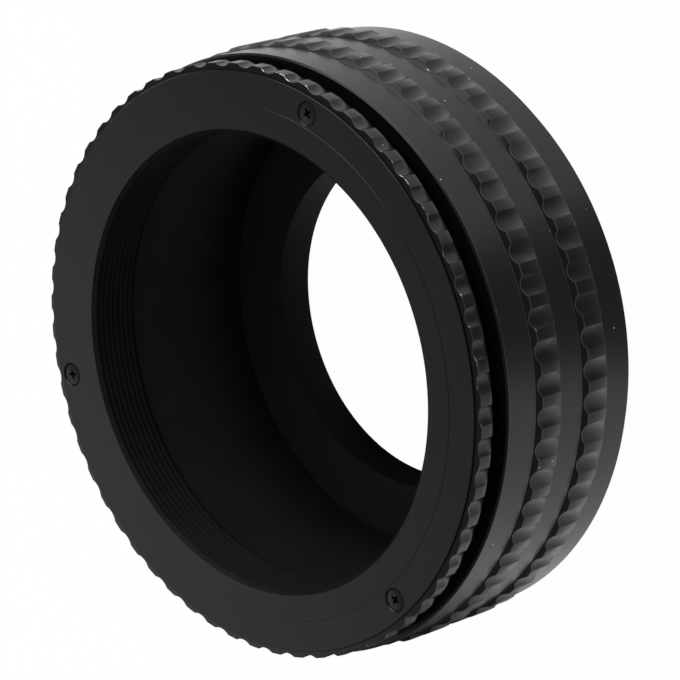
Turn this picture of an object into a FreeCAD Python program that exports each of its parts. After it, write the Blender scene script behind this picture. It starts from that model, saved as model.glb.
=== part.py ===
import FreeCAD, Part
import math
import os

# Focusing helicoid adapter: a grip ring turns on a rear mount plate and drives a keyed front barrel along the axis.
# Millimetres. The optical axis is Z with the lens side up, and the origin is the centre of the stub's lower end.

# Mount threads, which set the size of everything else
front_thread_radius = 25.6        # M52 x 0.75 female thread, at its crests
rear_thread_radius = 20.95        # M42 x 1 male thread, at its crests
thread_depth = 6.2
stub_length = 3.5
closed_length = 25.0              # camera seat to front face, with the barrel right in

# Clearances
running_clearance = 0.1           # turning and sliding fits, radial
end_clearance = 0.2               # between faces that pass each other
seat_clearance = 0.05             # pieces fixed inside one another
screw_clearance = 0.02            # screw shank in its tapped hole

# Rear mount plate with its stub
stub_wall = 1.55
stub_chamfer = 0.5
plate_thickness = 1.3
plate_setback = 1.0               # plate edge inside the focusing ring's edge

# Front barrel, a tube with a scalloped rim
barrel_wall = 2.5
bore_relief = 0.5                 # barrel bore over the front thread
collar_setback = 1.7
collar_height = 1.35              # shoulder to rim, the dark gap behind the rim
rim_setback = 0.2
rim_thickness = 2.25
rim_wall = 1.1
rim_flute_depth = 0.27
rim_flute_width = 2.1
rim_flute_turn = 0.0              # degrees

# Front mount ring, let into the rim
mount_tube_wall = 1.45
face_thickness = 1.6
bore_chamfer = 0.4

# Guide collar, which traps the focusing ring's lip
neck_gap = 0.3
neck_wall = 2.0
collar_lip_overlap = 1.1
collar_lip_thickness = 1.5

# Focusing ring with two scalloped bands
ring_wall = 1.5                   # over the collar's lip
ring_lip_thickness = 1.2
band_count = 2
band_height = 0.54
band_length = 3.45
band_setback = 4.67               # ring's front face to the first band
band_spacing = 7.46
band_flute_depth = 0.39
band_flute_width = 2.35
band_flute_turn = 2.6             # degrees

# Scallops, the same number on each band and on the rim
scallop_count = 60
flute_flats = 3                   # flats that make up each rounded flute

# Guide bars, which key the barrel
bar_count = 3
bar_turn = 30.0                   # degrees
bar_width = 4.0
bar_thickness = 1.2
bar_setback = 3.0                 # below the focusing ring's front face
foot_height = 1.2
foot_wall = 0.5                   # collar left outside the bar's foot

# Screws, three through the face and three through the plate and the bars' feet
screw_count = 3
front_screw_turn = 90.0           # degrees
screw_edge = 1.8                  # screw centres inside the rim's seam
head_radius = 1.25
head_height = 0.75
head_clearance = 0.13
counterbore_depth = 0.8
shank_radius = 0.7
screw_sides = 16                  # heads and shanks are plain prisms
front_screw_length = 2.3
rear_screw_length = 3.0

# Radii, from the threads outward
stub_bore_radius = rear_thread_radius - stub_wall
barrel_bore_radius = front_thread_radius + bore_relief
helicoid_radius = barrel_bore_radius + barrel_wall
mount_tube_radius = front_thread_radius + mount_tube_wall
bar_outer = helicoid_radius - running_clearance
bar_inner = bar_outer - bar_thickness
ring_bore_radius = helicoid_radius + running_clearance
neck_bore_radius = helicoid_radius + neck_gap
neck_radius = neck_bore_radius + neck_wall
collar_lip_radius = neck_radius + collar_lip_overlap
smooth_radius = collar_lip_radius + running_clearance + ring_wall
band_radius = smooth_radius + band_height
plate_radius = smooth_radius - plate_setback
collar_radius = smooth_radius - collar_setback
rim_radius = smooth_radius - rim_setback
seam_radius = rim_radius - rim_wall
face_edge_radius = seam_radius - 2 * seat_clearance
front_screw_circle = seam_radius - screw_edge
rear_screw_circle = neck_radius - neck_wall / 2

# Heights, from the stub's end up
seat_z = stub_length
plate_top = seat_z + plate_thickness
face_z = seat_z + closed_length
rim_bottom = face_z - rim_thickness
recess_floor = face_z - face_thickness
mount_tube_bottom = face_z - thread_depth
ring_rear = plate_top + end_clearance
barrel_shoulder = rim_bottom - collar_height
ring_front = barrel_shoulder - 2 * end_clearance
ring_lip_top = ring_rear + ring_lip_thickness
collar_lip_bottom = ring_lip_top + end_clearance
collar_lip_top = collar_lip_bottom + collar_lip_thickness
ring_bore_bottom = collar_lip_top + end_clearance
barrel_rear = plate_top + 2 * end_clearance
bar_top = ring_front - bar_setback
foot_top = plate_top + foot_height
front_head_seat = face_z - counterbore_depth
rear_head_seat = seat_z + counterbore_depth

axis = FreeCAD.Vector(0, 0, 1)
origin = FreeCAD.Vector(0, 0, 0)


def turned(outline):
    """Solid of revolution about the optical axis from (radius, height) points."""
    points = [FreeCAD.Vector(radius, 0, height) for radius, height in outline]
    wire = Part.makePolygon(points + points[:1])
    return Part.Face(wire).revolve(origin, axis, 360)


def block(inner, outer, width, bottom, top):
    """Box centred on the X axis, from one radius and height to another."""
    corner = FreeCAD.Vector(inner, -width / 2, bottom)
    return Part.makeBox(outer - inner, width, top - bottom, corner)


def prism(points, bottom, top):
    """Upright prism on a closed polygon of (x, y) points."""
    corners = [FreeCAD.Vector(x, y, bottom) for x, y in points]
    face = Part.Face(Part.makePolygon(corners + corners[:1]))
    return face.extrude(FreeCAD.Vector(0, 0, top - bottom))


def spread(shape, count, first_turn):
    """Copies of a shape at equal steps round the optical axis."""
    copies = []
    for step in range(count):
        copy = shape.copy()
        copy.rotate(origin, axis, first_turn + step * 360 / count)
        copies.append(copy)
    return copies


def scalloped(radius, depth, width, bottom, top, turn):
    """Disc whose edge has rounded flutes made of flats, with straight lands between them."""
    cutter_radius = ((width / 2) ** 2 + depth ** 2) / (2 * depth)
    centre = radius - depth + cutter_radius
    half_angle = math.atan2(width / 2, cutter_radius - depth)
    points = []
    for scallop in range(scallop_count):
        flute_angle = math.radians(turn) + 2 * math.pi * scallop / scallop_count
        for step in range(flute_flats + 1):
            angle = half_angle * (2 * step / flute_flats - 1)
            reach = centre - cutter_radius * math.cos(angle)
            aside = cutter_radius * math.sin(angle)
            x = reach * math.cos(flute_angle) - aside * math.sin(flute_angle)
            y = reach * math.sin(flute_angle) + aside * math.cos(flute_angle)
            points.append((x, y))
    return prism(points, bottom, top)


def drum(radius, bottom, top):
    """Upright cylinder on the optical axis."""
    return Part.makeCylinder(radius, top - bottom, FreeCAD.Vector(0, 0, bottom), axis)


def stud(radius, circle, bottom, top):
    """Prism for a screw's head or shank, or for the hole it goes in."""
    points = []
    for side in range(screw_sides):
        angle = 2 * math.pi * side / screw_sides
        points.append((circle + radius * math.cos(angle), radius * math.sin(angle)))
    return prism(points, bottom, top)


def rear_mount():
    """Plate with the male-thread stub that seats on the camera."""
    body = turned([
        (stub_bore_radius, 0),
        (rear_thread_radius - stub_chamfer, 0),
        (rear_thread_radius, stub_chamfer),
        (rear_thread_radius, seat_z),
        (plate_radius, seat_z),
        (plate_radius, plate_top),
        (stub_bore_radius, plate_top),
    ])
    counterbore = stud(head_radius + head_clearance, rear_screw_circle, seat_z, rear_head_seat)
    hole = stud(shank_radius + seat_clearance, rear_screw_circle, seat_z, plate_top)
    return body.cut(Part.makeCompound(spread(counterbore.fuse(hole), bar_count, bar_turn)))


def guide_collar():
    """Collar on the plate: its lip keeps the focusing ring on, and its notches take the bars' feet."""
    body = turned([
        (neck_bore_radius, plate_top),
        (neck_radius, plate_top),
        (neck_radius, collar_lip_bottom),
        (collar_lip_radius, collar_lip_bottom),
        (collar_lip_radius, collar_lip_top),
        (neck_bore_radius, collar_lip_top),
    ])
    notch = block(
        bar_outer,
        neck_radius - foot_wall + seat_clearance,
        bar_width + 2 * seat_clearance,
        plate_top,
        foot_top + seat_clearance,
    )
    screw_end = rear_head_seat + rear_screw_length + screw_clearance
    hole = stud(shank_radius + screw_clearance, rear_screw_circle, plate_top, screw_end)
    return body.cut(Part.makeCompound(spread(notch.fuse(hole), bar_count, bar_turn)))


def guide_bar():
    """Straight bar that runs in a slot of the barrel, with a foot that is clamped under the collar."""
    bar = block(bar_inner, bar_outer, bar_width, plate_top, bar_top)
    foot = block(bar_inner, neck_radius - foot_wall, bar_width, plate_top, foot_top)
    hole = stud(shank_radius + seat_clearance, rear_screw_circle, plate_top, foot_top)
    return bar.common(drum(bar_outer, plate_top, bar_top)).fuse(foot).removeSplitter().cut(hole)


def focusing_ring():
    """Grip ring with two scalloped bands; its inner lip turns under the collar."""
    ring = turned([
        (neck_radius + running_clearance, ring_rear),
        (smooth_radius, ring_rear),
        (smooth_radius, ring_front),
        (ring_bore_radius, ring_front),
        (ring_bore_radius, ring_bore_bottom),
        (collar_lip_radius + running_clearance, ring_bore_bottom),
        (collar_lip_radius + running_clearance, ring_lip_top),
        (neck_radius + running_clearance, ring_lip_top),
    ])
    for number in range(band_count):
        top = ring_front - band_setback - number * band_spacing
        bottom = top - band_length
        band = scalloped(band_radius, band_flute_depth, band_flute_width, bottom, top, band_flute_turn)
        ring = ring.fuse(band.cut(drum(smooth_radius - ring_wall / 2, bottom, top)))
    return ring


def front_barrel():
    """Sliding tube with guide slots, and a scalloped rim that takes the front mount ring."""
    tube_seat = mount_tube_bottom - end_clearance / 2
    body = turned([
        (barrel_bore_radius, barrel_rear),
        (helicoid_radius, barrel_rear),
        (helicoid_radius, barrel_shoulder),
        (collar_radius, barrel_shoulder),
        (collar_radius, recess_floor),
        (mount_tube_radius + seat_clearance, recess_floor),
        (mount_tube_radius + seat_clearance, tube_seat),
        (barrel_bore_radius, tube_seat),
    ])
    rim = scalloped(rim_radius, rim_flute_depth, rim_flute_width, rim_bottom, face_z, rim_flute_turn)
    rim = rim.cut(drum(seam_radius, recess_floor, face_z))
    rim = rim.cut(drum(helicoid_radius, rim_bottom, recess_floor))
    body = body.fuse(rim).removeSplitter()
    slot = block(
        bar_inner - running_clearance,
        helicoid_radius + running_clearance,
        bar_width + 2 * seat_clearance,
        barrel_rear,
        bar_top + end_clearance,
    )
    screw_end = front_head_seat - front_screw_length - screw_clearance
    hole = stud(shank_radius + screw_clearance, front_screw_circle, screw_end, recess_floor)
    cuts = spread(slot, bar_count, bar_turn) + spread(hole, screw_count, front_screw_turn)
    return body.cut(Part.makeCompound(cuts))


def front_mount_ring():
    """Face plate with the female lens thread and counterbored screw holes."""
    body = turned([
        (front_thread_radius, mount_tube_bottom),
        (mount_tube_radius, mount_tube_bottom),
        (mount_tube_radius, recess_floor),
        (face_edge_radius, recess_floor),
        (face_edge_radius, face_z),
        (front_thread_radius + bore_chamfer, face_z),
        (front_thread_radius, face_z - bore_chamfer),
    ])
    counterbore = stud(head_radius + head_clearance, front_screw_circle, front_head_seat, face_z)
    hole = stud(shank_radius + seat_clearance, front_screw_circle, recess_floor, face_z)
    return body.cut(Part.makeCompound(spread(counterbore.fuse(hole), screw_count, front_screw_turn)))


def front_screw():
    """Pan-head screw that holds the face plate, head up."""
    head = stud(head_radius, front_screw_circle, front_head_seat, front_head_seat + head_height)
    return head.fuse(stud(shank_radius, front_screw_circle, front_head_seat - front_screw_length, front_head_seat))


def rear_screw():
    """The same screw, longer, head down in the plate."""
    head = stud(head_radius, rear_screw_circle, rear_head_seat - head_height, rear_head_seat)
    return head.fuse(stud(shank_radius, rear_screw_circle, rear_head_seat, rear_head_seat + rear_screw_length))


os.makedirs("parts", exist_ok=True)
nodes = {
    "rear_mount": rear_mount(),
    "guide_collar": guide_collar(),
    "rear_screws": Part.makeCompound(spread(rear_screw(), bar_count, bar_turn)),
    "focusing_ring": focusing_ring(),
    "front_barrel": front_barrel(),
    "front_mount_ring": front_mount_ring(),
    "front_screws": Part.makeCompound(spread(front_screw(), screw_count, front_screw_turn)),
}
for number, bar in enumerate(spread(guide_bar(), bar_count, bar_turn), start=1):
    nodes["guide_bar_%d" % number] = bar
for name, shape in nodes.items():
    shape.exportStep("parts/%s.step" % name)
    print(name, "valid" if shape.isValid() else "NOT VALID", len(shape.Solids), "solids", round(shape.Volume, 1))
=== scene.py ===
import math

import bmesh
import bpy
import numpy as np
from mathutils import Matrix, Vector


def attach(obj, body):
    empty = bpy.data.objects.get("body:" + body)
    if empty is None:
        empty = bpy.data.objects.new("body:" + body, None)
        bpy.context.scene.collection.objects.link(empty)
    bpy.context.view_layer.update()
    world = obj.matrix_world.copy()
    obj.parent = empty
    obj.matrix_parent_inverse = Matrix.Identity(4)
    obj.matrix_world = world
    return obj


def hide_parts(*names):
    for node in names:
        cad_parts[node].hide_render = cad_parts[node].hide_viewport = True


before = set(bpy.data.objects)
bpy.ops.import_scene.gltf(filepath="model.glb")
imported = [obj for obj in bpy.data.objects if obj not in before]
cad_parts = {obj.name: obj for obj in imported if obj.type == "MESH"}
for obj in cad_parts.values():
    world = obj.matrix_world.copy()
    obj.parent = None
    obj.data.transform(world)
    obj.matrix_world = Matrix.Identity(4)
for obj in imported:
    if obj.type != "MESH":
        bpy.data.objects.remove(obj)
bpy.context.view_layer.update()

# Sizes are in millimetres along the optical axis Z, with the lens side up, as in the CAD part.


# Rear mount
# A turned aluminium plate with a short stub, black anodised and bead-blasted.
# The stub carries a male M42 x 1 thread for the camera, and three screws hold the plate to the collar.
MM = 0.001
ROUND_COLUMNS = 360
HOLE_COLUMNS = 48
WELD = 0.0005
STUB_BORE = 19.4
STUB_CREST = 20.95
STUB_ROOT = 20.35
STUB_PITCH = 1.0
STUB_CHAMFER = 0.5
STUB_BORE_ROWS = 6
SEAT_Z = 3.5
PLATE_RADIUS = 32.6
PLATE_TOP = 4.8
PLATE_EDGE = 0.3
FINE_EDGE = 0.12
SCREW_COUNT = 3
REAR_SCREW_CIRCLE = 29.9
REAR_SCREW_TURN = 30.0
COUNTERBORE_RADIUS = 1.27
COUNTERBORE_DEPTH = 0.8
COUNTERBORE_FLARE = 0.13
SHARP_ANGLE = math.radians(35)


def softened(corners, steps=3):
    """Points of a section from (radius, height, softness) corners, each edge rounded over its softness."""
    outline = []
    for index, (radius, height, softness) in enumerate(corners):
        corner = Vector((radius, height))
        if softness == 0:
            outline.append(corner)
            continue
        before = Vector(corners[index - 1][:2]) - corner
        after = Vector(corners[(index + 1) % len(corners)][:2]) - corner
        start = corner + before.normalized() * softness
        end = corner + after.normalized() * softness
        for step in range(steps + 1):
            t = step / steps
            outline.append(start * (1 - t) ** 2 + corner * 2 * t * (1 - t) + end * t ** 2)
    return outline


def even_angles(count):
    """Angles of the columns of a plain turned piece, the first one again at the end."""
    return np.linspace(0, 2 * math.pi, count + 1)


def plain_rows(outline, angles):
    """Rows that have the same radius and height at every angle."""
    return [(np.full(len(angles), radius), np.full(len(angles), height)) for radius, height in outline]


def thread_rows(wall, root, pitch, lead, low, high, angles):
    """Rows up a threaded wall between two heights: crests at the wall's radius, grooves down to the root."""
    share = angles / (2 * math.pi)
    climb = abs(lead) * (share if lead > 0 else 1 - share)
    rows = []
    for groove in range(math.ceil((high - low + abs(lead)) / pitch)):
        for part, radius in ((0.1, wall), (0.45, root), (0.65, root), (1.0, wall)):
            height = low - abs(lead) + (groove + part) * pitch + climb
            inside = (height > low) & (height < high)
            rows.append((np.where(inside, radius, wall), np.clip(height, low, high)))
    return rows


def ring_object(name, rows, angles, marked):
    """Closed ring from rows of (radii, heights) round its section; marked rows set a strip's material."""
    radii = np.array([row[0] for row in rows])
    heights = np.array([row[1] for row in rows])
    points = np.stack((radii * np.cos(angles), radii * np.sin(angles), heights), axis=-1) * MM
    columns = len(angles)
    faces = []
    slots = []
    for row in range(len(rows)):
        below = row * columns
        above = (row + 1) % len(rows) * columns
        for column in range(columns - 1):
            faces.append((below + column, below + column + 1, above + column + 1, above + column))
        slots += [marked.get(row, 0)] * (columns - 1)
    mesh = bpy.data.meshes.new(name)
    mesh.from_pydata(points.reshape(-1, 3).tolist(), [], faces)
    mesh.polygons.foreach_set("material_index", slots)
    welded = bmesh.new()
    welded.from_mesh(mesh)
    bmesh.ops.remove_doubles(welded, verts=welded.verts, dist=WELD * MM)
    bmesh.ops.dissolve_degenerate(welded, edges=welded.edges, dist=WELD * MM)
    welded.to_mesh(mesh)
    welded.free()
    return place_object(name, mesh)


def place_object(name, mesh):
    """Smooth-shaded object of a mesh, with its sharp edges kept."""
    mesh.shade_smooth()
    mesh.set_sharp_from_angle(angle=SHARP_ANGLE)
    piece = bpy.data.objects.new(name, mesh)
    bpy.context.scene.collection.objects.link(piece)
    return piece


def sink_holes(piece, circle, first_turn, floor, mouth):
    """Counterbores cut into a face, from their floor to their slightly flared mouth."""
    up = 1 if mouth > floor else -1
    section = (
        (0, floor),
        (COUNTERBORE_RADIUS, floor),
        (COUNTERBORE_RADIUS, mouth - up * COUNTERBORE_FLARE),
        (COUNTERBORE_RADIUS + COUNTERBORE_FLARE, mouth),
        (COUNTERBORE_RADIUS + COUNTERBORE_FLARE, mouth + up),
        (0, mouth + up),
    )
    cutter = bmesh.new()
    for number in range(SCREW_COUNT):
        turn = Matrix.Rotation(math.radians(first_turn + number * 360 / SCREW_COUNT), 4, "Z")
        outline = [turn @ Vector((circle + radius, 0, height)) * MM for radius, height in section]
        verts = [cutter.verts.new(point) for point in outline]
        edges = [cutter.edges.new(pair) for pair in zip(verts, verts[1:])]
        centre = turn @ Vector((circle, 0, 0)) * MM
        bmesh.ops.spin(
            cutter,
            geom=verts + edges,
            cent=centre,
            axis=(0, 0, 1),
            angle=2 * math.pi,
            steps=HOLE_COLUMNS,
            use_merge=True,
        )
    bmesh.ops.remove_doubles(cutter, verts=cutter.verts, dist=WELD * MM)
    bmesh.ops.recalc_face_normals(cutter, faces=cutter.faces)
    mesh = bpy.data.meshes.new("counterbores")
    cutter.to_mesh(mesh)
    cutter.free()
    tool = bpy.data.objects.new("counterbores", mesh)
    bpy.context.scene.collection.objects.link(tool)
    cut = piece.modifiers.new("counterbores", "BOOLEAN")
    cut.object = tool
    cut.operation = "DIFFERENCE"
    cut.solver = "EXACT"
    bpy.context.view_layer.update()
    whole = piece.evaluated_get(bpy.context.evaluated_depsgraph_get())
    piece.data = bpy.data.meshes.new_from_object(whole)
    piece.modifiers.clear()
    bpy.data.objects.remove(tool)
    piece.data.shade_smooth()
    piece.data.set_sharp_from_angle(angle=SHARP_ANGLE)


def linear(hex_colour):
    """Linear RGBA of an sRGB hex colour."""
    parts = [int(hex_colour[start:start + 2], 16) / 255 for start in (1, 3, 5)]
    return [p / 12.92 if p <= 0.04045 else ((p + 0.055) / 1.055) ** 2.4 for p in parts] + [1.0]


def add_node(tree, kind, inputs=None, **settings):
    """Shader node with its settings; each input is a value, or another node's output to link."""
    node = tree.nodes.new("ShaderNode" + kind)
    for name, value in settings.items():
        setattr(node, name, value)
    for socket, value in (inputs or {}).items():
        if isinstance(value, bpy.types.NodeSocket):
            tree.links.new(value, node.inputs[socket])
        else:
            node.inputs[socket].default_value = value
    return node


def anodised(
    name, dark="#060606", light="#0d0d0d", roughness=0.27, specular=0.32, speck_share=0.03, bare_share=0.0
):
    """Black anodised, bead-blasted aluminium: faint mottling, fine grain, dust specks, and nicks on edges."""
    mottle_mm = 5.0
    grain_mm = 0.14
    speck_cell_mm = 1.0
    speck_radius_mm = 0.08
    nick_mm = 1.2
    material = bpy.data.materials.new(name)
    material.use_nodes = True
    tree = material.node_tree
    tree.nodes.clear()
    place = add_node(tree, "TexCoord").outputs["Object"]
    mottle = add_node(tree, "TexNoise", {"Vector": place, "Scale": 1 / (mottle_mm * MM), "Detail": 3.0})
    tone = add_node(
        tree, "Mix", {0: mottle.outputs["Fac"], 6: linear(dark), 7: linear(light)}, data_type="RGBA"
    )
    cells = add_node(tree, "TexVoronoi", {"Vector": place, "Scale": 1 / (speck_cell_mm * MM)})
    reach = speck_radius_mm / speck_cell_mm
    near = add_node(tree, "Math", {0: cells.outputs["Distance"], 1: reach}, operation="LESS_THAN")
    drawn = add_node(tree, "SeparateColor", {"Color": cells.outputs["Color"]})
    few = add_node(tree, "Math", {0: drawn.outputs["Red"], 1: speck_share}, operation="LESS_THAN")
    speck = add_node(tree, "Math", {0: near.outputs[0], 1: few.outputs[0]}, operation="MULTIPLY")
    dusty = add_node(
        tree, "Mix", {0: speck.outputs[0], 6: tone.outputs[2], 7: linear("#c9c9c6")}, data_type="RGBA"
    )
    patches = add_node(tree, "TexNoise", {"Vector": place, "Scale": 1 / (nick_mm * MM), "Detail": 2.0})
    nick = add_node(
        tree, "Math", {0: patches.outputs["Fac"], 1: 1 - bare_share}, operation="GREATER_THAN"
    )
    colour = add_node(
        tree, "Mix", {0: nick.outputs[0], 6: dusty.outputs[2], 7: linear("#b4b3b0")}, data_type="RGBA"
    )
    grain = add_node(tree, "TexNoise", {"Vector": place, "Scale": 1 / (grain_mm * MM), "Detail": 1.0})
    bump = add_node(
        tree, "Bump", {"Height": grain.outputs["Fac"], "Strength": 0.2, "Distance": 0.03 * MM}
    )
    finish = add_node(tree, "BsdfPrincipled", {
        "Base Color": colour.outputs[2],
        "Metallic": nick.outputs[0],
        "Roughness": roughness,
        "Specular IOR Level": specular,
        "Normal": bump.outputs["Normal"],
    })
    add_node(tree, "OutputMaterial", {"Surface": finish.outputs["BSDF"]})
    return material


def dress(piece, body, node, slot, *materials):
    """Gives a piece its materials, and puts it on its body in place of a CAD node."""
    for material in materials:
        piece.data.materials.append(material)
    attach(piece, body)
    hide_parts(node)


matt_plate = anodised("matt_black_plate", "#141414", "#1c1c1c", 0.6, 0.2, 0.0)
matt_bore = anodised("matt_black_bore", "#090909", "#0e0e0e", 0.6, 0.04, 0.0)
round_angles = even_angles(ROUND_COLUMNS)
rear_rows = plain_rows(softened([
    (STUB_BORE, PLATE_TOP, FINE_EDGE),
    (STUB_BORE, 0, FINE_EDGE),
    (STUB_CREST - STUB_CHAMFER, 0, FINE_EDGE / 2),
    (STUB_CREST, STUB_CHAMFER, 0),
]), round_angles)
rear_rows += thread_rows(
    STUB_CREST, STUB_ROOT, STUB_PITCH, STUB_PITCH, STUB_CHAMFER, SEAT_Z - STUB_CHAMFER, round_angles
)
rear_rows += plain_rows([(STUB_CREST, SEAT_Z - STUB_CHAMFER), (STUB_CREST, SEAT_Z)], round_angles)
rear_rows += plain_rows([
    (PLATE_RADIUS - PLATE_EDGE, SEAT_Z),
    (PLATE_RADIUS, SEAT_Z + PLATE_EDGE),
    (PLATE_RADIUS, PLATE_TOP - FINE_EDGE),
    (PLATE_RADIUS - FINE_EDGE, PLATE_TOP),
], round_angles)
inside = {row: 1 for row in range(STUB_BORE_ROWS)}
inside[len(rear_rows) - 1] = 2
rear_mount = ring_object("rear_mount_turned", rear_rows, round_angles, inside)
sink_holes(rear_mount, REAR_SCREW_CIRCLE, REAR_SCREW_TURN, SEAT_Z + COUNTERBORE_DEPTH, SEAT_Z)
dress(
    rear_mount,
    "rear",
    "rear_mount",
    "black_anodised",
    anodised("plate_black_anodised"),
    matt_bore,
    matt_plate,
)


# Guide collar
# A turned aluminium ring with a lip, black anodised, that keeps the focusing ring on the plate.
# It is clamped to the plate by the rear screws, and hidden once the adapter is together.
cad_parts["guide_collar"].data.materials.clear()
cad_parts["guide_collar"].data.materials.append(anodised("collar_black_anodised"))


# Guide bars
# Three straight brass bars that stand on the plate and run in the barrel's slots, so the barrel cannot turn.
# Each has a foot under the collar with a rear screw through it. Milled all over, with lengthwise tool marks.
def milled_brass(name):
    """Brass with fine tool marks along the bar."""
    mark_mm = 0.25
    material = bpy.data.materials.new(name)
    material.use_nodes = True
    tree = material.node_tree
    tree.nodes.clear()
    place = add_node(tree, "TexCoord").outputs["Object"]
    drawn_out = add_node(tree, "Mapping", {"Vector": place, "Scale": (1.0, 1.0, 0.05)})
    marks = add_node(
        tree, "TexNoise", {"Vector": drawn_out.outputs[0], "Scale": 1 / (mark_mm * MM), "Detail": 2.0}
    )
    tone = add_node(
        tree, "Mix", {0: marks.outputs["Fac"], 6: linear("#a8894a"), 7: linear("#c2a566")}, data_type="RGBA"
    )
    bump = add_node(tree, "Bump", {"Height": marks.outputs["Fac"], "Strength": 0.15, "Distance": 0.02 * MM})
    finish = add_node(tree, "BsdfPrincipled", {
        "Base Color": tone.outputs[2],
        "Metallic": 1.0,
        "Roughness": 0.35,
        "Normal": bump.outputs["Normal"],
    })
    add_node(tree, "OutputMaterial", {"Surface": finish.outputs["BSDF"]})
    return material


bar_brass = milled_brass("milled_brass")
for number in range(1, 4):
    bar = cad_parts["guide_bar_%d" % number]
    bar.data.materials.clear()
    bar.data.materials.append(bar_brass)


# Rear screws
# Three small steel pan-head screws, black oxide, with a cross recess for the driver.
# They go up through the plate and the bars' feet into the collar.
HEAD_RADIUS = 1.24
HEAD_HEIGHT = 0.69
HEAD_EDGE = 0.1
SHANK_RADIUS = 0.7
RECESS_LENGTH = 1.35
RECESS_WIDTH = 0.42
RECESS_DEPTH = 0.5
RECESS_TAPER = 0.6
REAR_SCREW_LENGTH = 3.0
REAR_DRIVER_TURNS = (15.0, 62.0, 38.0)


def cross_screws(name, length, circle, first_turn, seat, up, driver_turns):
    """Pan-head screws at equal steps round the axis, head up or down from the height of their seat."""
    screws = bmesh.new()
    section = (
        (0, -length),
        (SHANK_RADIUS, -length),
        (SHANK_RADIUS, 0),
        (HEAD_RADIUS, 0),
        (HEAD_RADIUS, HEAD_HEIGHT - HEAD_EDGE),
        (HEAD_RADIUS - HEAD_EDGE * 0.3, HEAD_HEIGHT - HEAD_EDGE * 0.35),
        (HEAD_RADIUS - HEAD_EDGE, HEAD_HEIGHT - HEAD_EDGE * 0.1),
        (0, HEAD_HEIGHT),
    )
    verts = [screws.verts.new(Vector((radius, 0, height)) * MM) for radius, height in section]
    edges = [screws.edges.new(pair) for pair in zip(verts, verts[1:])]
    bmesh.ops.spin(
        screws,
        geom=verts + edges,
        cent=(0, 0, 0),
        axis=(0, 0, 1),
        angle=2 * math.pi,
        steps=HOLE_COLUMNS,
        use_merge=True,
    )
    bmesh.ops.remove_doubles(screws, verts=screws.verts, dist=WELD * MM)
    bmesh.ops.recalc_face_normals(screws, faces=screws.faces)
    blank = bpy.data.meshes.new(name)
    screws.to_mesh(blank)
    screws.free()
    wings = bmesh.new()
    for wing_turn in (0, 90):
        shape = Matrix.Rotation(math.radians(wing_turn), 4, "Z")
        shape = shape @ Matrix.Diagonal((RECESS_LENGTH, RECESS_WIDTH, 2 * RECESS_DEPTH, 1))
        wing = bmesh.ops.create_cube(wings, size=1.0, matrix=shape)
        for vert in wing["verts"]:
            if vert.co.z < 0:
                vert.co.xy *= RECESS_TAPER
    bmesh.ops.translate(wings, verts=wings.verts, vec=(0, 0, HEAD_HEIGHT))
    bmesh.ops.scale(wings, verts=wings.verts, vec=(MM, MM, MM))
    driver = bpy.data.meshes.new("driver")
    wings.to_mesh(driver)
    wings.free()
    tool = bpy.data.objects.new("driver", driver)
    piece = bpy.data.objects.new(name, blank)
    for each in (tool, piece):
        bpy.context.scene.collection.objects.link(each)
    cut = piece.modifiers.new("cross", "BOOLEAN")
    cut.object = tool
    cut.operation = "DIFFERENCE"
    cut.solver = "EXACT"
    cut.use_self = True
    bpy.context.view_layer.update()
    one = bpy.data.meshes.new_from_object(piece.evaluated_get(bpy.context.evaluated_depsgraph_get()))
    piece.modifiers.clear()
    bpy.data.objects.remove(tool)
    group = bmesh.new()
    for number, driver_turn in enumerate(driver_turns):
        copy = one.copy()
        place = Matrix.Rotation(math.radians(first_turn + number * 360 / SCREW_COUNT), 4, "Z")
        place = place @ Matrix.Translation(Vector((circle, 0, seat)) * MM)
        if not up:
            place = place @ Matrix.Rotation(math.pi, 4, "X")
        spin = Matrix.Rotation(math.radians(driver_turn), 4, "Z")
        copy.transform(place @ spin)
        group.from_mesh(copy)
    group.to_mesh(blank)
    group.free()
    blank.shade_smooth()
    blank.set_sharp_from_angle(angle=SHARP_ANGLE)
    return piece


def black_oxide(name):
    """Blackened steel, a little worn."""
    wear_mm = 0.5
    material = bpy.data.materials.new(name)
    material.use_nodes = True
    tree = material.node_tree
    tree.nodes.clear()
    place = add_node(tree, "TexCoord").outputs["Object"]
    wear = add_node(tree, "TexNoise", {"Vector": place, "Scale": 1 / (wear_mm * MM), "Detail": 3.0})
    tone = add_node(
        tree, "Mix", {0: wear.outputs["Fac"], 6: linear("#070707"), 7: linear("#121212")}, data_type="RGBA"
    )
    finish = add_node(tree, "BsdfPrincipled", {
        "Base Color": tone.outputs[2],
        "Metallic": 0.0,
        "Roughness": 0.35,
        "Specular IOR Level": 0.3,
    })
    add_node(tree, "OutputMaterial", {"Surface": finish.outputs["BSDF"]})
    return material


screw_finish = black_oxide("black_oxide_steel")
rear_screws = cross_screws(
    "rear_cross_screws",
    REAR_SCREW_LENGTH,
    REAR_SCREW_CIRCLE,
    REAR_SCREW_TURN,
    SEAT_Z + COUNTERBORE_DEPTH,
    False,
    REAR_DRIVER_TURNS,
)
dress(rear_screws, "rear", "rear_screws", "black_steel", screw_finish)


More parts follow.
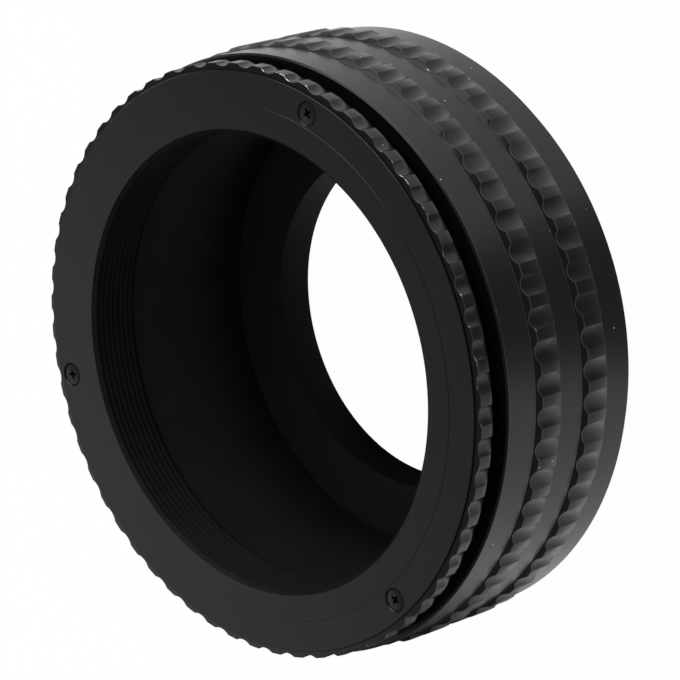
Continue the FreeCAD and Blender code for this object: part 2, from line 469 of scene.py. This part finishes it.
# Focusing ring
# A wide turned aluminium grip, black anodised, with two raised bands of milled scallops.
# Its inner lip turns under the collar, and the multi-start thread in its bore drives the barrel.
SMOOTH_RADIUS = 33.6
RING_REAR = 5.0
RING_FRONT = 24.5
RING_EDGE = 0.2
LIP_BORE = 31.0
LIP_TOP = 6.2
POCKET_RADIUS = 32.1
POCKET_TOP = 8.1
HELICOID_RADIUS = 28.6
HELICOID_CLEARANCE = 0.1
HELICOID_DEPTH = 0.5
HELICOID_PITCH = 1.5
HELICOID_LEAD = -18.0
BAND_RADIUS = 34.14
BAND_FRONTS = (19.83, 12.37)
BAND_LENGTH = 3.45
BAND_SLOPE = 0.58
BAND_FLUTE_DEPTH = 0.38
BAND_FLUTE_WIDTH = 2.35
BAND_FLUTE_TURN = 2.6
SCALLOP_COUNT = 60
EDGE_BREAK = 0.055
# Width of the thin flat strips that carry painted highlight lines.
HIGHLIGHT_STRIP_WIDTH = 0.09


def scalloped_columns(radius, depth, width, turn):
    """Angles of the columns round a scalloped edge and the radius that the edge has at each of them."""
    flute_steps = 12
    land_steps = 2
    cutter = ((width / 2) ** 2 + depth ** 2) / (2 * depth)
    centre = radius - depth + cutter
    half = math.atan2(width / 2, cutter - depth)
    near_edge = half - EDGE_BREAK / cutter
    flute_end = math.asin(width / 2 / radius) + EDGE_BREAK / radius
    pitch = 2 * math.pi / SCALLOP_COUNT
    angles = []
    reaches = []
    for scallop in range(SCALLOP_COUNT):
        middle = math.radians(turn) + scallop * pitch
        for step in range(flute_steps + 1):
            swing = near_edge * math.sin(math.pi / 2 * (2 * step / flute_steps - 1))
            along = centre - cutter * math.cos(swing)
            across = cutter * math.sin(swing)
            angles.append(middle + math.atan2(across, along))
            reaches.append(math.hypot(across, along))
        for step in range(land_steps + 1):
            angles.append(middle + flute_end + (pitch - 2 * flute_end) * step / land_steps)
            reaches.append(radius)
    angles.append(angles[0] + 2 * math.pi)
    reaches.append(reaches[0])
    return np.array(angles), np.array(reaches)


def band_rows(front, angles, reaches):
    """Rows up one scalloped band: sloped flanks, broken edges and the fluted land between them."""
    rear = front - BAND_LENGTH
    height = BAND_RADIUS - SMOOTH_RADIUS

    def wall(radii, middle, lean):
        return middle + lean * ((radii - SMOOTH_RADIUS) / height - 0.5) * BAND_SLOPE

    smooth = np.full(len(angles), SMOOTH_RADIUS)
    broken = np.maximum(reaches - EDGE_BREAK, SMOOTH_RADIUS + 0.3 * EDGE_BREAK)
    rear_edge = wall(reaches, rear, 1) + EDGE_BREAK
    front_edge = wall(reaches, front, -1) - EDGE_BREAK
    return [
        (smooth, wall(smooth, rear, 1)),
        (broken, wall(broken, rear, 1)),
        (reaches, rear_edge),
        (reaches, (rear_edge + front_edge) / 2),
        (reaches, front_edge),
        (broken, wall(broken, front, -1)),
        (smooth, wall(smooth, front, -1)),
        # A thin flat strip at the front foot, only there to carry a painted highlight line.
        (smooth, wall(smooth, front, -1) + HIGHLIGHT_STRIP_WIDTH),
    ]


grip_angles, grip_reaches = scalloped_columns(
    BAND_RADIUS, BAND_FLUTE_DEPTH, BAND_FLUTE_WIDTH, BAND_FLUTE_TURN
)
ring_bore = HELICOID_RADIUS + HELICOID_CLEARANCE
ring_rows = plain_rows([
    (LIP_BORE, RING_REAR),
    (SMOOTH_RADIUS - FINE_EDGE, RING_REAR),
    (SMOOTH_RADIUS, RING_REAR + FINE_EDGE),
], grip_angles)
# Strips in the second slot: the bands' edge breaks, whose lighter tone is partly real wear and partly a
# painted highlight line, and the thin strips at the bands' feet and below the front chamfer, which are
# painted highlight lines only.
wear_and_highlight_strips = {}
for band_front in reversed(BAND_FRONTS):
    first = len(ring_rows)
    ring_rows += band_rows(band_front, grip_angles, grip_reaches)
    wear_and_highlight_strips.update({first + 1: 1, first + 4: 1, first + 6: 1})
# A painted highlight line on the smooth wall, just below the front chamfer.
wear_and_highlight_strips[len(ring_rows)] = 1
ring_rows += plain_rows([
    (SMOOTH_RADIUS, RING_FRONT - RING_EDGE - HIGHLIGHT_STRIP_WIDTH),
    (SMOOTH_RADIUS, RING_FRONT - RING_EDGE),
    (SMOOTH_RADIUS - RING_EDGE, RING_FRONT),
], grip_angles)
bore_rows = plain_rows([(ring_bore, POCKET_TOP)], grip_angles)
bore_rows += thread_rows(
    ring_bore,
    ring_bore + HELICOID_DEPTH,
    HELICOID_PITCH,
    HELICOID_LEAD,
    POCKET_TOP,
    RING_FRONT - RING_EDGE,
    grip_angles,
)
bore_rows += plain_rows([(ring_bore + RING_EDGE, RING_FRONT)], grip_angles)
ring_rows += reversed(bore_rows)
ring_rows += plain_rows([
    (POCKET_RADIUS, POCKET_TOP),
    (POCKET_RADIUS, LIP_TOP),
    (LIP_BORE, LIP_TOP),
], grip_angles)
focusing_ring = ring_object("focusing_ring_scalloped", ring_rows, grip_angles, wear_and_highlight_strips)
grip_finish = anodised("grip_black_anodised")
# Edge wear with nicks of bare metal, and a lighter tone that paints the highlight lines along the edges and
# at the bands' feet.
edge_wear_and_highlight_finish = anodised("worn_anodised_edge_and_painted_highlight", "#0b0b0b", "#404041", 0.4, 0.5, 0.0, 0.3)
dress(focusing_ring, "ring", "focusing_ring", "black_anodised", grip_finish, edge_wear_and_highlight_finish)


# Front barrel
# A turned aluminium tube, black anodised, with the multi-start thread outside and a scalloped front rim.
# It slides on the guide bars in three milled slots, and its recess takes the front mount ring.
BARREL_BORE = 26.1
BARREL_REAR = 5.2
BARREL_SHOULDER = 24.9
THREAD_TOP = 24.0
THREAD_RUNOUT = 0.1
COLLAR_RADIUS = 31.9
RIM_BOTTOM = 26.0
RIM_FLANK = 0.45
RIM_RADIUS = 33.2
RIM_FRONT = 28.15
RIM_TOP = 28.24
RIM_FLUTE_DEPTH = 0.38
RIM_FLUTE_WIDTH = 2.1
RIM_FLUTE_TURN = 0.0
SEAM_RADIUS = 32.45
RECESS_FLOOR = 26.9
TUBE_SEAT_RADIUS = 27.1
TUBE_SEAT_Z = 22.2
FACE_Z = 28.5
SLOT_FLOOR = 27.2
SLOT_TOP = 21.7
SLOT_HALF_WIDTH = 2.06
SLOT_TURN = 30.0

rim_angles, rim_reaches = scalloped_columns(RIM_RADIUS, RIM_FLUTE_DEPTH, RIM_FLUTE_WIDTH, RIM_FLUTE_TURN)


def cone_height(radii):
    """Height of the rim's front, a shallow cone, at each radius."""
    return RIM_FRONT + (RIM_RADIUS - radii) / (RIM_RADIUS - SEAM_RADIUS) * (RIM_TOP - RIM_FRONT)


matt_inside = anodised("matt_black_inside", "#101010", "#191919", 0.55, 0.08, 0.0)
skirt_rows = plain_rows([(HELICOID_RADIUS, BARREL_REAR)], rim_angles)
skirt_rows += thread_rows(
    HELICOID_RADIUS,
    HELICOID_RADIUS - HELICOID_DEPTH,
    HELICOID_PITCH,
    HELICOID_LEAD,
    BARREL_REAR,
    THREAD_TOP,
    rim_angles,
)
slot_pitch = 2 * math.pi / SCREW_COUNT
from_slot = (rim_angles - math.radians(SLOT_TURN) + slot_pitch / 2) % slot_pitch - slot_pitch / 2
in_slot = np.abs(from_slot) * SLOT_FLOOR < SLOT_HALF_WIDTH
skirt_rows = [
    (np.where(in_slot & (heights < SLOT_TOP), SLOT_FLOOR, radii), heights) for radii, heights in skirt_rows
]
barrel_rows = plain_rows([(BARREL_BORE, BARREL_REAR)], rim_angles) + skirt_rows
barrel_rows += plain_rows([
    (HELICOID_RADIUS, THREAD_TOP),
    (HELICOID_RADIUS - HELICOID_DEPTH, THREAD_TOP + THREAD_RUNOUT),
    (HELICOID_RADIUS - HELICOID_DEPTH, BARREL_SHOULDER),
    (COLLAR_RADIUS - FINE_EDGE, BARREL_SHOULDER),
    (COLLAR_RADIUS, BARREL_SHOULDER + FINE_EDGE),
    (COLLAR_RADIUS, RIM_BOTTOM),
], rim_angles)
broken_reaches = rim_reaches - EDGE_BREAK
rim_rear = RIM_BOTTOM + RIM_FLANK - RIM_RADIUS
barrel_rows += plain_rows([(RIM_RADIUS - RIM_FLANK, RIM_BOTTOM)], rim_angles)
barrel_rows += [
    (broken_reaches, broken_reaches + rim_rear),
    (rim_reaches, rim_reaches + rim_rear + EDGE_BREAK),
    (rim_reaches, (cone_height(rim_reaches) + RIM_BOTTOM) / 2),
    (rim_reaches, cone_height(rim_reaches) - EDGE_BREAK),
    (broken_reaches, cone_height(broken_reaches)),
]
# The rim's front edge break gets the nicked finish: nicks of bare metal, and a lighter tone that paints a
# highlight line along the edge.
barrel_marks = {len(barrel_rows) - 2: 1}
barrel_rows += plain_rows([
    (SEAM_RADIUS, RIM_TOP),
    (SEAM_RADIUS, RECESS_FLOOR),
    (TUBE_SEAT_RADIUS, RECESS_FLOOR),
    (TUBE_SEAT_RADIUS, TUBE_SEAT_Z),
    (BARREL_BORE, TUBE_SEAT_Z),
], rim_angles)
barrel_marks[len(barrel_rows) - 1] = 2
front_barrel = ring_object("front_barrel_scalloped", barrel_rows, rim_angles, barrel_marks)
dress(
    front_barrel,
    "barrel",
    "front_barrel",
    "black_anodised",
    anodised("barrel_black_anodised"),
    # Nicked edge: bare-metal nicks, and a lighter tone that paints a highlight line.
    anodised("nicked_edge_and_painted_highlight", "#0b0b0b", "#404041", 0.4, 0.5, 0.0, 0.39),
    matt_inside,
)


# Front mount ring
# A turned aluminium face plate with a short tube behind it, black anodised, held in the rim by three screws.
# The bore carries a female M52 x 0.75 thread, and a fine step is turned in the face.
FRONT_CREST = 25.6
FRONT_ROOT = 26.02
FRONT_PITCH = 0.75
BORE_CHAMFER = 0.4
TUBE_RADIUS = 27.05
TUBE_BOTTOM = 22.3
FACE_EDGE_RADIUS = 32.41
FACE_BEVEL = 0.07
FACE_STEP_RADIUS = 28.9
FACE_STEP = 0.05
FRONT_SCREW_CIRCLE = 30.5
FRONT_SCREW_TURN = 90.0

face_low = FACE_Z - FACE_STEP
front_bore_rows = thread_rows(
    FRONT_CREST, FRONT_ROOT, FRONT_PITCH, FRONT_PITCH, TUBE_BOTTOM, FACE_Z - BORE_CHAMFER, round_angles
)
mount_rows = plain_rows([
    (FRONT_CREST, TUBE_BOTTOM),
    (TUBE_RADIUS, TUBE_BOTTOM),
    (TUBE_RADIUS, RECESS_FLOOR),
    (FACE_EDGE_RADIUS, RECESS_FLOOR),
    (FACE_EDGE_RADIUS, face_low - FACE_BEVEL),
    (FACE_EDGE_RADIUS - FACE_BEVEL, face_low),
    (FACE_STEP_RADIUS + FACE_STEP, face_low),
    (FACE_STEP_RADIUS, FACE_Z),
    (FRONT_CREST + BORE_CHAMFER, FACE_Z),
    (FRONT_CREST, FACE_Z - BORE_CHAMFER),
], round_angles)
inside = {row: 1 for row in range(len(mount_rows) - 2, len(mount_rows) + len(front_bore_rows))}
mount_rows += reversed(front_bore_rows)
front_mount = ring_object("front_mount_threaded", mount_rows, round_angles, inside)
sink_holes(front_mount, FRONT_SCREW_CIRCLE, FRONT_SCREW_TURN, face_low - COUNTERBORE_DEPTH, face_low)
face_finish = anodised("face_black_anodised")
dress(front_mount, "barrel", "front_mount_ring", "black_anodised", face_finish, matt_inside)


# Front screws
# The same steel screws as at the rear, shorter, with their heads just below the face.
# Each was driven home at its own angle.
FRONT_SCREW_LENGTH = 2.2
FRONT_DRIVER_TURNS = (45.0, 0.0, 20.0)

front_screws = cross_screws(
    "front_cross_screws",
    FRONT_SCREW_LENGTH,
    FRONT_SCREW_CIRCLE,
    FRONT_SCREW_TURN,
    face_low - COUNTERBORE_DEPTH,
    True,
    FRONT_DRIVER_TURNS,
)
dress(front_screws, "barrel", "front_screws", "black_steel", screw_finish)


# Floor, light and camera
# A plain white floor and soft white surroundings, with a large softbox above and a small one to the left in
# the picture. Mirrored, the floor falls dark to two sides, each given as turn, half angle and least light.
# The camera stands where the photograph's did.
FLOOR_HALF = 3.0
FLOOR_GAP = 0.0002
FLOOR_SEEN_LIGHT = 0.98
DARK_SIDES = ((34.0, 25.0, 0.3), (-85.0, 50.0, 0.05))
ROOM_MIRRORED_LIGHT = 0.22
ROOM_FILL = 0.7
LAMP_AIM = Vector((0, 0, 0.014))
KEY_WATTS = 0.3
KEY_SIZE = 0.35
KEY_PLACE = Vector((-0.41, -0.42, 0.35))
TOP_WATTS = 4.6
TOP_SIZE = 0.8
TOP_PLACE = Vector((-0.35, 0.675, 0.49))
CAMERA_PLACE = Vector((0.2360, 0.1915, 0.3043))
CAMERA_RIGHT = Vector((0.6928, 0.1956, -0.6941))
CAMERA_UP = Vector((-0.4518, 0.8679, -0.2064))
CAMERA_BACK = Vector((0.5621, 0.4566, 0.6897))
CAMERA_LENS = 199.3
CAMERA_SENSOR = 36.0


def by_ray(tree, seen, mirrored, lighting):
    """A strength for camera rays, one for glossy and transmission rays, and one for the light on things."""
    path = add_node(tree, "LightPath")
    glossy = path.outputs["Is Glossy Ray"]
    passed = path.outputs["Is Transmission Ray"]
    mirror = add_node(tree, "Math", {0: glossy, 1: passed}, operation="MAXIMUM")
    indirect = add_node(tree, "Mix", {0: mirror.outputs[0], 2: lighting, 3: mirrored})
    strength = add_node(tree, "Mix", {0: path.outputs["Is Camera Ray"], 2: indirect.outputs[0], 3: seen})
    return strength.outputs[0]


corners = [(x * FLOOR_HALF, y * FLOOR_HALF, -FLOOR_GAP) for x, y in ((-1, -1), (1, -1), (1, 1), (-1, 1))]
floor_mesh = bpy.data.meshes.new("floor")
floor_mesh.from_pydata(corners, [], [(0, 1, 2, 3)])
floor = bpy.data.objects.new("floor", floor_mesh)
bpy.context.scene.collection.objects.link(floor)
floor_finish = bpy.data.materials.new("white_paper")
floor_finish.use_nodes = True
floor_tree = floor_finish.node_tree
floor_tree.nodes.clear()
paper = add_node(floor_tree, "BsdfDiffuse", {"Color": linear("#f2f2f2")})
floor_place = add_node(floor_tree, "TexCoord").outputs["Object"]
spot = add_node(floor_tree, "VectorMath", {0: floor_place}, operation="NORMALIZE")
mirrored_light = 1.0
for turn, half_angle, least_light in DARK_SIDES:
    dark_side = (math.cos(math.radians(turn)), math.sin(math.radians(turn)), 0)
    facing = add_node(floor_tree, "VectorMath", {0: spot.outputs[0], 1: dark_side}, operation="DOT_PRODUCT")
    fall = add_node(floor_tree, "MapRange", {
        "Value": facing.outputs["Value"],
        "From Min": math.cos(math.radians(half_angle)),
        "From Max": 1.0,
        "To Min": 1.0,
        "To Max": least_light,
    }, interpolation_type="SMOOTHSTEP")
    product = add_node(floor_tree, "Math", {0: mirrored_light, 1: fall.outputs[0]}, operation="MULTIPLY")
    mirrored_light = product.outputs[0]
share = by_ray(floor_tree, FLOOR_SEEN_LIGHT, 1.0, 0.0)
glow_strength = by_ray(floor_tree, 1.0, mirrored_light, 1.0)
glow = add_node(floor_tree, "Emission", {"Color": linear("#ffffff"), "Strength": glow_strength})
blend = add_node(floor_tree, "MixShader", {0: share, 1: paper.outputs[0], 2: glow.outputs[0]})
add_node(floor_tree, "OutputMaterial", {"Surface": blend.outputs[0]})
floor_mesh.materials.append(floor_finish)

world = bpy.data.worlds.new("white_room")
world.use_nodes = True
world_tree = world.node_tree
world_tree.nodes.clear()
strength = by_ray(world_tree, 1.0, ROOM_MIRRORED_LIGHT, ROOM_FILL)
room = add_node(world_tree, "Background", {"Color": linear("#ffffff"), "Strength": strength})
add_node(world_tree, "OutputWorld", {"Surface": room.outputs[0]})
bpy.context.scene.world = world

for name, watts, size, place in (
    ("key_softbox", KEY_WATTS, KEY_SIZE, KEY_PLACE),
    ("top_softbox", TOP_WATTS, TOP_SIZE, TOP_PLACE),
):
    light = bpy.data.lights.new(name, "AREA")
    light.energy = watts
    light.size = size
    lamp = bpy.data.objects.new(name, light)
    lamp.location = place
    lamp.rotation_euler = (LAMP_AIM - place).to_track_quat("-Z", "Y").to_euler()
    bpy.context.scene.collection.objects.link(lamp)

lens = bpy.data.cameras.new("camera")
lens.lens = CAMERA_LENS
lens.sensor_width = CAMERA_SENSOR
lens.clip_start = 0.01
lens.clip_end = 20.0
camera = bpy.data.objects.new("camera", lens)
turn = Matrix((CAMERA_RIGHT, CAMERA_UP, CAMERA_BACK)).transposed()
camera.matrix_world = Matrix.Translation(CAMERA_PLACE) @ turn.to_4x4()
bpy.context.scene.collection.objects.link(camera)
bpy.context.scene.camera = camera
bpy.context.scene.view_settings.view_transform = "Standard"
